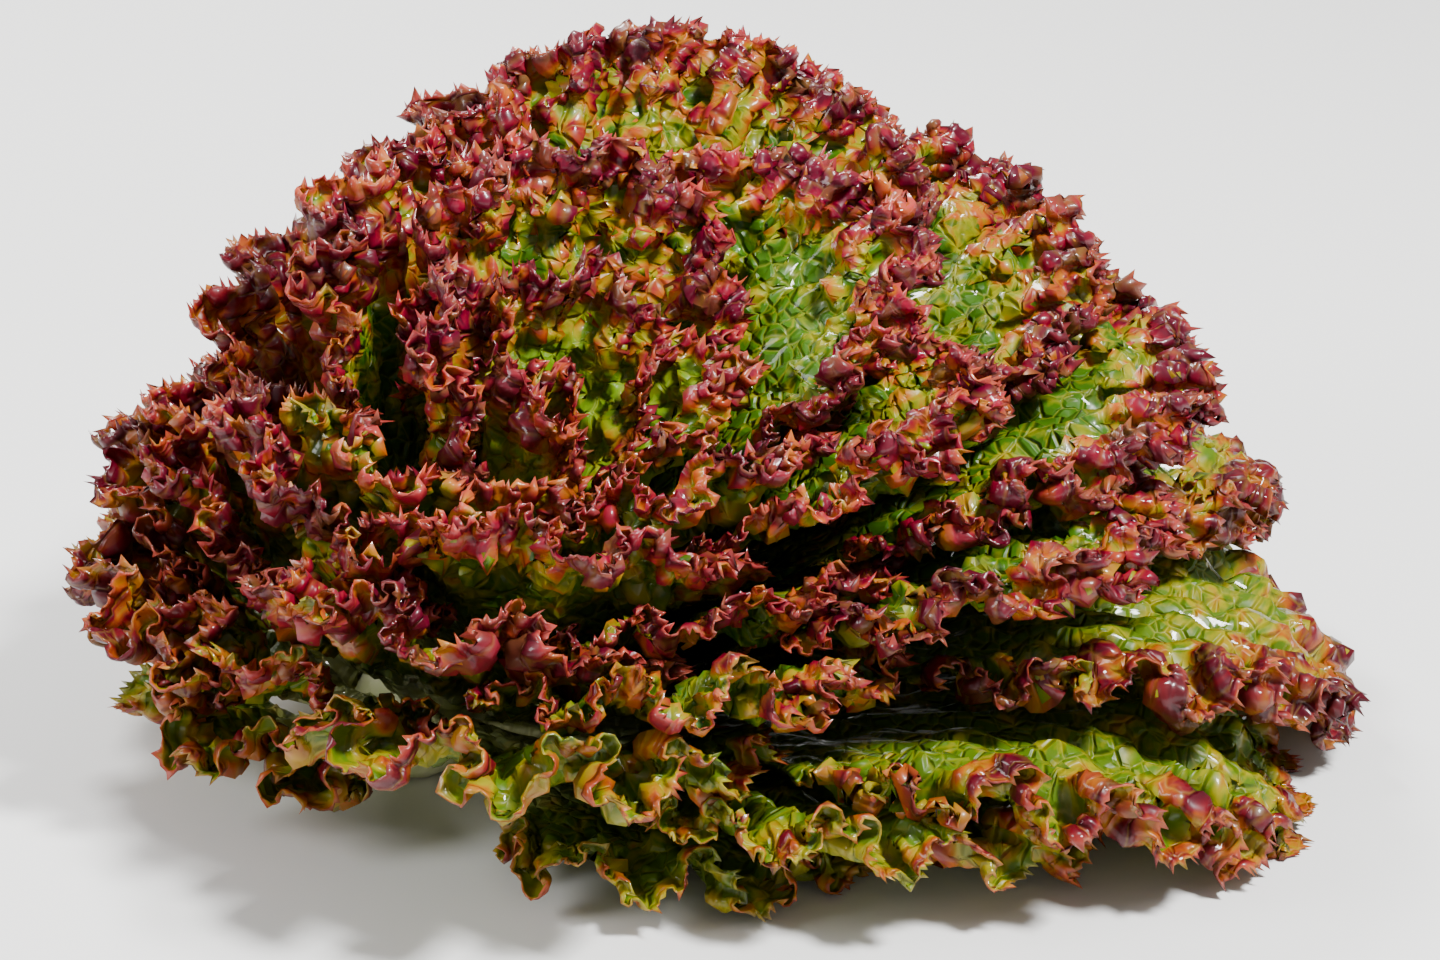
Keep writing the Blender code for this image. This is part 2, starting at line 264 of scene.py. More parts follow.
# Patterns in the materials: how many to the metre, and the range that a noise mostly keeps to.
PATCHES = 70.0
MARBLING = 230.0
FLECKS = 620.0
VEIN_CELLS = 290.0
VEIN_WOBBLE = 45.0
STEM_FIBRES = 500.0
STEM_BLOTCHES = 120.0
NOISE_RANGE = (0.3, 0.7)
BLOTCH_RANGE = (0.35, 0.65)
# How much less and how much more red the patches and the marbling make the leaf.
PATCH_RED = (-0.22, 0.22)
MARBLING_RED = (-0.38, 0.34)
# Veins: a fine net round the cells, and one main vein along each wave of the fan.
NET_WIDTH = 0.09  # as a share of a cell, as is the width of the groove along it
NET_GROOVE = 0.22
NET_SHOWN = 0.45
MAIN_VEIN_WIDTH = 0.06
MAIN_VEIN_WANDER = (-0.35, 0.35)
MAIN_VEIN_SHOWN = 0.7
VEINS_FADE = (0.2, 1.0)  # over this range of redness the veins fade from the first to the second
VEINS_FADED = (0.75, 0.30)
# How much the tip shows: a pale edge that is partly a painted highlight.
PALE_TIP_AND_HIGHLIGHT_SHOWN = 0.6
# How much the outer face's grey-pink veil shows: partly its duller skin, partly a painted sheen.
OUTER_SKIN_AND_SHEEN_SHOWN = 0.06
VEIN_DEPTH = 0.9 * MM
VEIN_RELIEF = 0.75
FIBRE_DEPTH = 0.4 * MM
FIBRE_RELIEF = 0.4
# Gloss: the roughness between flecks and fibres, and the leaf's wax.
LEAF_ROUGHNESS = (0.30, 0.48)
STEM_ROUGHNESS = (0.42, 0.6)
LEAF_SPECULAR = 0.35
WAX = 0.45
WAX_ROUGHNESS = 0.06
SEEN_THROUGH = 0.35  # the share of the light that passes through a leaf

# The studio.
FLOOR_HALF = 3.0
FLOOR_GAP = 0.2 * MM  # between the head's lowest points and the floor
FLOOR_COLOUR = (0.74, 0.74, 0.73, 1.0)
FLOOR_ROUGHNESS = 0.7
SKY_COLOUR = (1.0, 0.98, 0.95, 1.0)
SKY_STRENGTH = 0.44
# name, place in metres, width in metres and power in watts
LIGHTS = (
    ("key_light", (0.50, -0.35, 1.00), 0.20, 36.0),
    ("left_light", (-0.95, -0.35, 0.6), 0.40, 10.0),
    ("back_light", (-0.35, 0.75, 0.85), 0.22, 18.0),
)
LIGHT_TARGET = Vector((0.0, 0.0, 0.05))
CAMERA_TARGET = Vector((0.0008, -0.0324, 0.060))
CAMERA_DISTANCE = 0.77
CAMERA_ELEVATION = 22.0
CAMERA_LENS = 100.0  # in millimetres, as is the sensor's width
CAMERA_SENSOR = 36.0
CAMERA_NEAREST = 10.0 * MM


def cup(opening, reach):
    """The radius and height of the cup's profile at these reaches, and its slope from the axis."""
    opening = np.asarray(opening, dtype=float)
    reach = np.asarray(reach, dtype=float)
    parts = (np.arange(CUP_PARTS) + 0.5) / CUP_PARTS
    slope = opening[..., None] * bend(reach[..., None] * parts / CUP_REACH)
    foot = STEM_LEAFY * (1.0 - opening / math.radians(WIDEST_OPENING))
    radius = reach * np.sin(slope).mean(axis=-1)
    height = reach * np.cos(slope).mean(axis=-1) + foot
    return radius, height, opening * bend(reach / CUP_REACH)


def bend(share):
    """A cup's slope at this share of its reach, against its opening angle."""
    return 1.0 - CUP_RISE * share + CUP_ROLL * share**2


def closing(azimuth):
    """How much of its opening a leaf keeps on this side of the head."""
    toward = (1.0 + np.cos(azimuth - math.radians(LOW_SIDE))) / 2
    return 1.0 - LOW_SIDE_CLOSING * toward


def head_axes():
    """The head's own right, back and up, as columns."""
    up = np.array([math.sin(math.radians(LEAN_RIGHT)), -math.sin(math.radians(LEAN_FRONT)), 0.0])
    up[2] = math.sqrt(1 - up @ up)
    right = np.array([1.0, 0.0, 0.0]) - up[0] * up
    right /= np.linalg.norm(right)
    return np.stack([right, np.cross(up, right), up], axis=1)


def lift(points):
    """How high these points of the head stand, where nothing holds them up."""
    return points @ head_axes()[2] + FOOT_LIFT


def stood(points, lowest=0.0):
    """Points of the head set on the surface, where what would sink is pressed flat."""
    placed = points @ head_axes().T
    height = lift(points)
    soft = (height + np.sqrt(height**2 + FLOOR_SOFTNESS**2)) / 2 - FLOOR_SINK
    placed[..., 2] = np.maximum(soft, lowest)
    return placed


class Leaf:
    """One leaf of the CAD model: its place in the head and its main waves."""

    def __init__(self, name, azimuth, opening, length, half_width):
        self.name = name
        self.slot = next(slot for slot in SLOTS if name.startswith(slot))
        self.azimuth = math.radians(azimuth)
        self.opening = math.radians(opening)
        self.length = length * MM
        self.half_width = half_width * MM
        around = BLADE_SWEEP * (self.half_width + self.length * (1 - BLADE_CENTRE))
        around += NECK_HEIGHT * self.length
        self.columns = max(FEWEST_COLUMNS, 2 * round(around / WAVE_WIDTH / 2))
        self.chance = random.Random(name)
        self.heights = [self.chance.uniform(LOWEST_WAVE, 1.0) for _ in range(self.columns + 1)]
        edge = Sheet(self, np.arange(self.columns + 1.0), self.cad_rings())
        self.edge_reach = np.maximum.accumulate(edge.reach.min(axis=1))
        self.edge_swing = np.abs(edge.swing).max(axis=1)

    def cad_rings(self):
        beyond = max(FEWEST_RINGS, round(self.length / RING_STEP))
        first = min(FIRST_RING / self.length, FIRST_RING_SHARE)
        return np.concatenate(([0.0], np.linspace(first, 1.0, beyond + 1)))

    def fine_rings(self):
        """Rings from foot to margin, close together at the margin."""
        steps = []
        step = FIRST_STEP
        while sum(steps) < self.length:
            steps.append(step)
            step = min(step * STEP_GROWTH, LONGEST_STEP)
        inward = np.cumsum([0.0] + steps)
        return 1.0 - inward[::-1] / inward[-1]

    def covers(self, azimuth, reach):
        """Whether this leaf lies over or under these places."""
        edge = np.interp(reach, self.edge_reach, self.edge_swing)
        away = np.abs((azimuth - self.azimuth + math.pi) % (2 * math.pi) - math.pi)
        return (away < edge + math.radians(COVER_MARGIN)) & (reach < self.length + LENGTH_MARGIN)


class Sheet:
    """Where a leaf's places along its margin cross its rings, on the cup, before any waves."""

    def __init__(self, leaf, places, rings, phases=None):
        along = rings[:, None]
        places = np.atleast_2d(places)
        phases = places if phases is None else phases
        self.flat_x, self.flat_y = flat_leaf(leaf, places, along, phases)
        self.reach = np.hypot(self.flat_x, self.flat_y)
        turn = np.arctan2(self.flat_x, self.flat_y)
        level = np.full(self.reach.shape, leaf.opening * closing(leaf.azimuth))
        self.swing = turn * self.reach / cup(level, self.reach)[0]
        self.azimuth = leaf.azimuth + self.swing
        self.closing = closing(self.azimuth)
        self.radius, self.height, self.slope = cup(leaf.opening * self.closing, self.reach)

    def placed(self, wave):
        """The crossings in the head's own axes, moved off the cup by these waves."""
        radius = self.radius + wave * np.cos(self.slope)
        height = self.height - wave * np.sin(self.slope)
        around = np.cos(self.azimuth), np.sin(self.azimuth)
        return np.stack([radius * around[0], radius * around[1], height], axis=-1)


def flat_leaf(leaf, places, along, phases):
    """The flat leaf's crossings of rings and columns, from its foot."""
    across = 2.0 * places / leaf.columns - 1.0
    length = leaf.length
    foot_turn = math.radians(FOOT_HALF_ANGLE) * across
    foot = FOOT_REACH * np.sin(foot_turn), FOOT_REACH * np.cos(foot_turn)
    neck = NECK_HALF_WIDTH * length * across, NECK_HEIGHT * length * (1 - NECK_DROP * across**2)
    sweep = BLADE_SWEEP * across
    drop = np.where(np.cos(sweep) > 0, length * (1.0 - BLADE_CENTRE), BLADE_DROP * length)
    scallop = 1.0 + MARGIN_SCALLOP * np.cos(math.pi * phases) * (1.0 - across**2)
    margin = (
        leaf.half_width * np.sin(sweep) * scallop,
        BLADE_CENTRE * length + drop * np.cos(sweep) * scallop,
    )
    return (
        (1 - along) ** 2 * a + 2 * along * (1 - along) * b + along**2 * c
        for a, b, c in zip(foot, neck, margin)
    )


def column_gaps(points):
    """How far apart the columns of a grid of points run, at each crossing."""
    along, across = np.gradient(points, axis=0), np.gradient(points, axis=1)
    area = np.linalg.norm(np.cross(across, along), axis=-1)
    return area / np.linalg.norm(along, axis=-1)


def rooms(leaf, leaves, rings):
    """At the CAD columns, how far the next leaves are inside and outside, and the highest wave."""
    own = Sheet(leaf, np.arange(leaf.columns + 1.0), rings)
    inner = np.minimum(own.radius, OPEN_ROOM)
    outer = np.full(own.reach.shape, OPEN_ROOM)
    highest = np.minimum(WAVE_HEIGHT, STEEPEST_WAVE * column_gaps(own.placed(0.0)))
    for other in leaves:
        if other is leaf:
            continue
        covered = other.covers(own.azimuth, own.reach)
        if not covered.any():
            continue
        radius, height, _ = cup(other.opening * own.closing, own.reach)
        gap = (radius - own.radius) * np.cos(own.slope) - (height - own.height) * np.sin(own.slope)
        inner = np.where(covered & (gap < 0), np.minimum(inner, -gap), inner)
        outer = np.where(covered & (gap > 0), np.minimum(outer, gap), outer)
    return inner, outer, highest


def folded(leaf, leaves, phases, rings):
    """The leaf with its main waves, stood in the head; its thickness, its room and its sheet."""
    along = rings[:, None] * np.ones_like(phases)
    places = phases + MEANDER * np.sin(2 * math.pi * phases) * along**MEANDER_GROWTH
    sheet = Sheet(leaf, places, rings, phases[None, :])
    cad_columns = np.arange(leaf.columns + 1)
    inner, outer, highest = (
        np.stack([np.interp(phases, cad_columns, row) for row in limit])
        for limit in rooms(leaf, leaves, rings)
    )
    swell = np.cos(math.pi * phases)
    free = WAVE_ROOM * (np.where(swell > 0, outer, inner) - WAVE_CLEARANCE)
    heights = np.interp(phases, cad_columns, leaf.heights)
    wave = swell * np.clip(free, 0, highest) * heights * along**WAVE_GROWTH
    pressed = np.clip(lift(sheet.placed(0.0)) / PRESSED_HEIGHT, 0.0, 1.0)
    side = sheet.reach * np.sin(sheet.swing * sheet.radius / sheet.reach)
    rib = RIB_THICK * np.exp(-((side / RIB_HALF_WIDTH) ** 2)) * (1 - along) ** RIB_TAPER
    thick = BLADE_THICK + (FOOT_THICK - BLADE_THICK) * (1 - along) ** FOOT_TAPER + rib
    room = np.minimum(inner, outer)
    thick = np.minimum(thick, np.maximum(THICKNESS_ROOM * room, BLADE_THICK))
    return stood(sheet.placed(wave * pressed), thick / 2), thick, room * pressed, sheet


def even_phases(leaf, leaves):
    """Phases of the main waves, at even steps along the folded margin."""
    dense = np.linspace(0.0, leaf.columns, MEASURE_STEPS * leaf.columns + 1)
    margin = folded(leaf, leaves, dense, np.array(MEASURE_RINGS))[0][-1]
    steps = np.linalg.norm(np.diff(margin, axis=0), axis=1)
    walked = np.concatenate(([0.0], np.cumsum(steps)))
    coarsest = 2 ** len(RING_BANDS)
    columns = coarsest * round(walked[-1] / COLUMN_STEP / coarsest)
    even = np.linspace(0.0, walked[-1], columns + 1)
    return np.interp(even, walked, dense), even


def grid_axes(points):
    """The directions across, along and off a grid of points."""
    along = np.gradient(points, axis=0)
    across = np.gradient(points, axis=1)
    off = np.cross(across, along)
    return tuple(
        axis / np.maximum(np.linalg.norm(axis, axis=-1, keepdims=True), 1e-9)
        for axis in (across, along, off)
    )


def wander(places, step, numbers):
    """A smooth random line through -1 to 1, with a new value each step."""
    knots = places / step
    values = numbers.uniform(-1.0, 1.0, int(knots[-1]) + 2)
    whole = np.floor(knots).astype(int)
    part = knots - whole
    part = part * part * (3 - 2 * part)
    return values[whole] * (1 - part) + values[whole + 1] * part


def blisters(sheet, numbers):
    """Low swellings between the veins, as crossed waves over the flat leaf."""
    swelling = 0.0
    for k, angle in enumerate(numbers.uniform(0, math.pi, BLISTER_WAVES)):
        way = sheet.flat_x * math.cos(angle) + sheet.flat_y * math.sin(angle)
        step = BLISTER_STEP * (1 + BLISTER_SPREAD * k)
        swelling = swelling + np.cos(2 * math.pi * way / step + angle)
    return swelling / BLISTER_WAVES


def ripples(points, size, numbers):
    """Random swellings of about half this size, with sharp creases between them."""
    height = np.zeros(points.shape[:2])
    for _ in range(CRUMPLE_WAVES):
        way = numbers.normal(size=3)
        way *= 2 * math.pi / size / np.linalg.norm(way)
        height += np.sin(points @ way + numbers.uniform(0, 2 * math.pi))
    return CRUMPLE_CREST * np.abs(height) * math.sqrt(2.0 / CRUMPLE_WAVES) - 1.0


def crumpled(leaf, points, room, inward, numbers):
    """The leaf with its crumples, the larger ones first."""
    longer, taller = FRILL[leaf.slot]
    from_margin = 1.0 - (1.0 - CRUMPLE_MARGIN) * np.exp(-((inward / MARGIN_BAND) ** 2))
    for size, height, depth in CRUMPLES:
        axes = grid_axes(points)
        tall = np.minimum(taller * height, CRUMPLE_ROOM * room) * from_margin
        tall = tall * np.maximum(np.exp(-((inward / depth) ** 2)), CRUMPLE_INSIDE)
        for axis, share in zip(axes, (CRUMPLE_SIDEWAYS, CRUMPLE_SIDEWAYS, 1.0)):
            push = share * tall * ripples(points, longer * size, numbers)
            points = points + axis * push[..., None]
    return points


def crimped(leaf, points, room, inward, walk, numbers):
    """The leaf with its crimps, each on top of the last."""
    longer, taller = FRILL[leaf.slot]
    middle, stray = CRIMP_UNEVEN
    for length, height, depth in CRIMPS:
        length = longer * length
        height = taller * height
        across, _, off = grid_axes(points)
        drift = wander(walk, CRIMP_DRIFT * length, numbers) * math.pi
        slant = CRIMP_SLANT * wander(walk, CRIMP_SLANT_DRIFT * length, numbers) * inward / depth
        turn = 2 * math.pi * walk / length + drift + slant
        uneven = middle + stray * wander(walk, CRIMP_UNEVEN_DRIFT * length, numbers)
        tall = np.minimum(height, CRIMP_ROOM * room) * np.exp(-((inward / depth) ** CRIMP_FADE))
        wave = tall * uneven * np.sin(turn)
        curl = CRIMP_CURL * tall * uneven * np.sin(2 * turn)
        points = points + off * wave[..., None] - across * curl[..., None]
    return points


def teeth(points, numbers):
    """The margin drawn out into uneven pointed teeth."""
    _, along, off = grid_axes(points)
    columns = points.shape[1]
    long = np.zeros(columns)
    place = 1
    while place < columns - 1:
        long[place] = numbers.uniform(TOOTH_SHORT, TOOTH_LONG)
        place += numbers.choice(TEETH_APART)
    lean = numbers.uniform(-TOOTH_LEAN, TOOTH_LEAN, columns)[:, None]
    toothed = points.copy()
    toothed[-1] += (along[-1] + lean * off[-1]) * long[:, None]
    return toothed


def grid_faces(index, widths):
    """Quads between rings of equal columns, and triangles where the columns halve."""
    faces = []
    for i in range(index.shape[0] - 1):
        low, high = index[i, :: widths[i]], index[i + 1, :: widths[i + 1]]
        if widths[i] == widths[i + 1]:
            faces += np.stack([low[:-1], low[1:], high[1:], high[:-1]], axis=1).tolist()
        else:
            middle = high[1::2]
            faces += np.stack([low[:-1], low[1:], middle], axis=1).tolist()
            faces += np.stack([low[:-1], middle, high[:-1:2]], axis=1).tolist()
            faces += np.stack([low[1:], high[2::2], middle], axis=1).tolist()
    return faces


def ring_widths(rings):
    """How many columns each ring steps over."""
    widths = np.full(rings, 2 ** len(RING_BANDS))
    for band in range(len(RING_BANDS) - 1, -1, -1):
        widths[-sum(RING_BANDS[: band + 1]) :] = 2**band
    return widths


def blade(name, points, thick, values):
    """A closed blade of two faces that meet in a sharp margin, with these values at its corners."""
    rings, columns = points.shape[:2]
    thick = thick.copy()
    thick[-1] = 0.0
    thick[:, [0, -1]] = 0.0
    offset = grid_axes(points)[2] * thick[..., None] / 2
    corners = np.concatenate([(points + offset).reshape(-1, 3), (points - offset).reshape(-1, 3)])
    corners[:, 2] = np.maximum(corners[:, 2], 0.0)
    outer = np.arange(rings * columns).reshape(rings, columns)
    inner = outer + rings * columns
    inner[-1] = outer[-1]
    inner[:, [0, -1]] = outer[:, [0, -1]]
    widths = ring_widths(rings)
    faces = grid_faces(outer, widths)
    faces += [face[::-1] for face in grid_faces(inner, widths)]
    foot_outer, foot_inner = outer[0, :: widths[0]], inner[0, :: widths[0]]
    for k in range(foot_outer.size - 1):
        rim = [foot_outer[k + 1], foot_outer[k], foot_inner[k], foot_inner[k + 1]]
        faces.append(list(dict.fromkeys(int(corner) for corner in rim)))
    used = np.unique(np.concatenate([np.array(face) for face in faces]))
    new_index = np.full(corners.shape[0], -1)
    new_index[used] = np.arange(used.size)
    renumbered = new_index.tolist()
    mesh = bpy.data.meshes.new(name)
    mesh.from_pydata(corners[used].tolist(), [], [[renumbered[c] for c in f] for f in faces])
    mesh.polygons.foreach_set("use_smooth", [True] * len(mesh.polygons))
    for title, (outside, inside) in values.items():
        both = np.concatenate([outside.reshape(-1, 3), inside.reshape(-1, 3)])
        attribute = mesh.attributes.new(title, "FLOAT_VECTOR", "POINT")
        attribute.data.foreach_set("vector", both[used].astype(np.float32).ravel())
    thing = bpy.data.objects.new(name, mesh)
    bpy.context.scene.collection.objects.link(thing)
    return thing


def tones_and_tip_highlight(leaf, sheet, inward, walk, raised, numbers):
    """Redness, paleness and tip for each crossing, on the outer face and on the inner; the tip is a
    pale margin that is partly a painted highlight.
    """
    toward = (1 + np.cos(leaf.azimuth - math.radians(GREEN_SIDE))) / 2
    depth = RED_DEPTH[leaf.slot] * (1 - GREEN_SIDE_SHARE * toward)
    low = (math.degrees(leaf.opening) - LOW_OPENING) / (LOWEST_OPENING - LOW_OPENING)
    less = LESS_RED.get(leaf.name, 0.0) + LOW_LESS_RED * min(max(low, 0.0), 1.0)
    red = MARGIN_RED - inward / depth - less
    from_foot = (sheet.reach - FOOT_REACH) / (PALE_SHARE * leaf.length)
    pale = np.clip(1 - from_foot, 0, 1) ** PALE_FADE
    # The margin's pale tip, partly a painted highlight, with uneven strength along it.
    middle, stray = PALE_TIP_AND_HIGHLIGHT_STRENGTH
    tip_highlight_strength = np.clip(middle + stray * wander(walk, PALE_TIP_AND_HIGHLIGHT_SPREAD, numbers), 0, 1)
    tip = np.clip(1 - inward / PALE_TIP_AND_HIGHLIGHT_LENGTH, 0, 1) * tip_highlight_strength
    crest = RAISED_RED * np.clip(raised / RAISED_HEIGHT, -1, 1)
    outer_red = np.clip(OUTER_RED * red + crest, 0, 1)
    outer = np.stack([outer_red, np.clip(pale * OUTER_PALE, 0, 1), tip], axis=-1)
    inner = np.stack([np.clip(red - crest, 0, 1), pale, tip], axis=-1)
    return outer, inner


def leaf_piece(leaf, leaves, shift):
    """One leaf's finer blade, with what its material reads at each corner."""
    phases, walk = even_phases(leaf, leaves)
    rings = leaf.fine_rings()
    points, thick, room, sheet = folded(leaf, leaves, phases, rings)
    numbers = np.random.RandomState(leaf.chance.randrange(2**31))
    inward = (1 - rings[:, None]) * leaf.length * np.ones_like(phases)
    plain = points
    swelling = BLISTER_HEIGHT * blisters(sheet, numbers) * np.clip(room / WAVE_HEIGHT, 0, 1)
    points = points + grid_axes(points)[2] * swelling[..., None]
    points = crumpled(leaf, points, room, inward, numbers)
    points = crimped(leaf, points, room, inward, walk, numbers)
    raised = ((points - plain) * grid_axes(plain)[2]).sum(axis=-1)
    points = teeth(points, numbers)
    points[..., 2] = np.maximum(points[..., 2], thick / 2)
    points = points + shift
    seed = np.full(inward.shape, numbers.uniform(0, 1.0))
    place = np.stack([sheet.flat_x, sheet.flat_y, seed], axis=-1)
    fan = phases[None, :] * np.ones_like(inward)
    outer_fan = np.stack([fan, inward, np.ones_like(fan)], axis=-1)
    inner_fan = np.stack([fan, inward, np.zeros_like(fan)], axis=-1)
    values = {
        "leaf_place": (place, place),
        "leaf_tone_and_tip_highlight": tones_and_tip_highlight(leaf, sheet, inward, walk, raised, numbers),
        "leaf_fan": (outer_fan, inner_fan),
    }
    return blade(leaf.name + "_frilled", points, thick, values)


class Nodes:
    """A short way to write a material's node tree."""

    def __init__(self, name):
        self.material = bpy.data.materials.new(name)
        self.material.use_nodes = True
        self.tree = self.material.node_tree
        self.surface = self.tree.nodes["Principled BSDF"]
        self.output = self.tree.nodes["Material Output"]

    def add(self, kind, inputs=None, **settings):
        node = self.tree.nodes.new(kind)
        for name, value in settings.items():
            setattr(node, name, value)
        for socket, value in (inputs or {}).items():
            self.put(node.inputs[socket], value)
        return node

    def put(self, socket, value):
        if isinstance(value, bpy.types.NodeSocket):
            self.tree.links.new(value, socket)
        else:
            socket.default_value = value

    def maths(self, operation, a, b=0.0, clamp=False):
        node = self.add("ShaderNodeMath", {0: a, 1: b}, operation=operation, use_clamp=clamp)
        return node.outputs[0]

    def spread(self, value, low, high, to_low=0.0, to_high=1.0, way="LINEAR"):
        inputs = {"Value": value, 1: low, 2: high, 3: to_low, 4: to_high}
        return self.add("ShaderNodeMapRange", inputs, interpolation_type=way).outputs[0]

    def mix(self, share, a, b):
        node = self.add("ShaderNodeMix", data_type="RGBA")
        for socket, value in ((0, share), (6, a), (7, b)):
            self.put(node.inputs[socket], value)
        return node.outputs[2]

    def noise(self, place, scale, detail=2.0):
        inputs = {"Vector": place, "Scale": scale, "Detail": detail}
        return self.add("ShaderNodeTexNoise", inputs).outputs["Fac"]

    def bump(self, height, strength, distance):
        inputs = {"Height": height, "Strength": strength, "Distance": distance}
        return self.add("ShaderNodeBump", inputs).outputs[0]

    def ramp(self, value, stops):
        node = self.add("ShaderNodeValToRGB", {"Fac": value})
        points = node.color_ramp.elements
        for place, _ in stops[1:-1]:
            points.new(place)
        for point, (place, colour) in zip(points, stops):
            point.position = place
            point.color = colour
        return node.outputs["Color"]

    def attribute(self, name):
        vector = self.add("ShaderNodeAttribute", attribute_name=name).outputs["Vector"]
        return vector, self.add("ShaderNodeSeparateXYZ", {0: vector}).outputs


def linear(red, green, blue):
    """A colour given as the eye sees it, 0 to 255, for a shader."""
    parts = [c / 255 for c in (red, green, blue)]
    return (*(c / 12.92 if c <= 0.04045 else ((c + 0.055) / 1.055) ** 2.4 for c in parts), 1.0)


# From the leaf's green, through olive and orange, to the red of its margin.
RAMPS = {
    "outer_leaf": (
        (0.00, linear(86, 118, 0)),
        (0.26, linear(160, 150, 0)),
        (0.54, linear(176, 88, 0)),
        (0.80, linear(120, 8, 26)),
        (1.00, linear(84, 0, 24)),
    ),
    "leaf": (
        (0.00, linear(60, 104, 0)),
        (0.26, linear(150, 148, 0)),
        (0.50, linear(190, 94, 0)),
        (0.76, linear(148, 2, 40)),
        (1.00, linear(94, 0, 32)),
    ),
    "inner_leaf": (
        (0.00, linear(66, 112, 0)),
        (0.26, linear(160, 158, 0)),
        (0.50, linear(198, 98, 0)),
        (0.76, linear(162, 2, 48)),
        (1.00, linear(104, 0, 38)),
    ),
    "heart_leaf": (
        (0.00, linear(112, 150, 0)),
        (0.28, linear(162, 146, 0)),
        (0.54, linear(186, 86, 0)),
        (0.78, linear(150, 4, 42)),
        (1.00, linear(102, 0, 34)),
    ),
}
PALE = linear(222, 226, 160)
VEIN = linear(170, 160, 28)
# The tip's colour: the margin's paler edge, partly a painted highlight.
PALE_TIP_AND_HIGHLIGHT = linear(226, 96, 70)
# A grey-pink veil on the outer face: partly its duller skin, partly a painted sheen.
OUTER_SKIN_AND_SHEEN = linear(170, 96, 80)
STEM_SKIN = (linear(214, 220, 160), linear(236, 236, 200))
STEM_CUT = (linear(196, 160, 110), linear(150, 100, 66))


def leaf_material(slot):
    """Waxy leaf: red at the margin, green inside, pale at the foot, with sunken veins, a pale tip
    that is partly a painted highlight, and an outer face veiled partly by its duller skin and
    partly by a painted sheen.
    """
    n = Nodes("lettuce_" + slot)
    place, _ = n.attribute("leaf_place")
    _, (redness, paleness, tip) = n.attribute("leaf_tone_and_tip_highlight")
    _, (fan, _, outer_face) = n.attribute("leaf_fan")
    patches = n.spread(n.noise(place, PATCHES), *NOISE_RANGE, *PATCH_RED)
    marbling = n.spread(n.noise(place, MARBLING, 3.0), *NOISE_RANGE, *MARBLING_RED)
    flecks = n.noise(place, FLECKS)
    red = n.maths("ADD", redness, patches)
    red = n.maths("ADD", red, marbling, clamp=True)
    colour = n.ramp(red, RAMPS[slot])
    veins, relief = leaf_veins(n, place, fan)
    veins_shown = n.maths("MULTIPLY", veins, n.spread(redness, *VEINS_FADE, *VEINS_FADED))
    colour = n.mix(veins_shown, colour, VEIN)
    colour = n.mix(paleness, colour, PALE)
    # Pale tip along the margin, partly a painted highlight.
    colour = n.mix(n.maths("MULTIPLY", tip, PALE_TIP_AND_HIGHLIGHT_SHOWN), colour, PALE_TIP_AND_HIGHLIGHT)
    # Grey-pink veil on the outer face, partly its duller skin and partly a painted sheen.
    colour = n.mix(outer_face, colour, n.mix(OUTER_SKIN_AND_SHEEN_SHOWN, colour, OUTER_SKIN_AND_SHEEN))
    bump = n.bump(relief, VEIN_RELIEF, VEIN_DEPTH)
    n.put(n.surface.inputs["Base Color"], colour)
    n.put(n.surface.inputs["Normal"], bump)
    n.put(n.surface.inputs["Roughness"], n.spread(flecks, *NOISE_RANGE, *LEAF_ROUGHNESS))
    n.surface.inputs["Specular IOR Level"].default_value = LEAF_SPECULAR
    n.surface.inputs["Coat Weight"].default_value = WAX
    n.surface.inputs["Coat Roughness"].default_value = WAX_ROUGHNESS
    through = n.add("ShaderNodeBsdfTranslucent", {"Color": colour, "Normal": bump})
    shaders = {0: SEEN_THROUGH, 1: n.surface.outputs[0], 2: through.outputs[0]}
    n.put(n.output.inputs["Surface"], n.add("ShaderNodeMixShader", shaders).outputs[0])
    return n.material


def leaf_veins(n, place, fan):
    """How much the veins show, and the relief of the grooves along the finer ones."""
    cells = n.add(
        "ShaderNodeTexVoronoi", {"Vector": place, "Scale": VEIN_CELLS}, feature="DISTANCE_TO_EDGE"
    ).outputs["Distance"]
    net = n.spread(cells, 0.0, NET_WIDTH, NET_SHOWN, 0.0)
    wander_across = n.spread(n.noise(place, VEIN_WOBBLE), *NOISE_RANGE, *MAIN_VEIN_WANDER)
    from_vein = n.maths("PINGPONG", n.maths("ADD", fan, wander_across), 0.5)
    main_vein = n.spread(from_vein, 0.0, MAIN_VEIN_WIDTH, MAIN_VEIN_SHOWN, 0.0)
    return n.maths("MAXIMUM", net, main_vein), n.spread(cells, 0.0, NET_GROOVE, way="SMOOTHSTEP")


def stem_rows(openings, sides):
    """Rings of the stem from the top of its dome to its cut, stood in the head."""
    radii, heights, _ = cup(openings, np.full(openings.shape, FOOT_REACH - STEM_GAP))
    radii = np.append(radii, CUT_RADIUS)
    heights = np.append(heights, -CUT_DROP)
    turns = 2 * math.pi * np.arange(sides) / sides
    around = np.stack([np.cos(turns), np.sin(turns), np.zeros(sides)], axis=1)
    rows = radii[:, None, None] * around + heights[:, None, None] * np.array([0.0, 0.0, 1.0])
    return stood(rows)


def head_shift():
    """How far the CAD model was moved across the surface to stand over its origin."""
    openings = np.radians(np.linspace(0.0, STEM_DOME_END, STEM_DOME_RINGS))
    lowest = stem_rows(openings, STEM_SIDES).reshape(-1, 3).min(axis=0)
    shift = np.array(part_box("stem")[0]) - lowest
    shift[2] = 0.0
    return shift


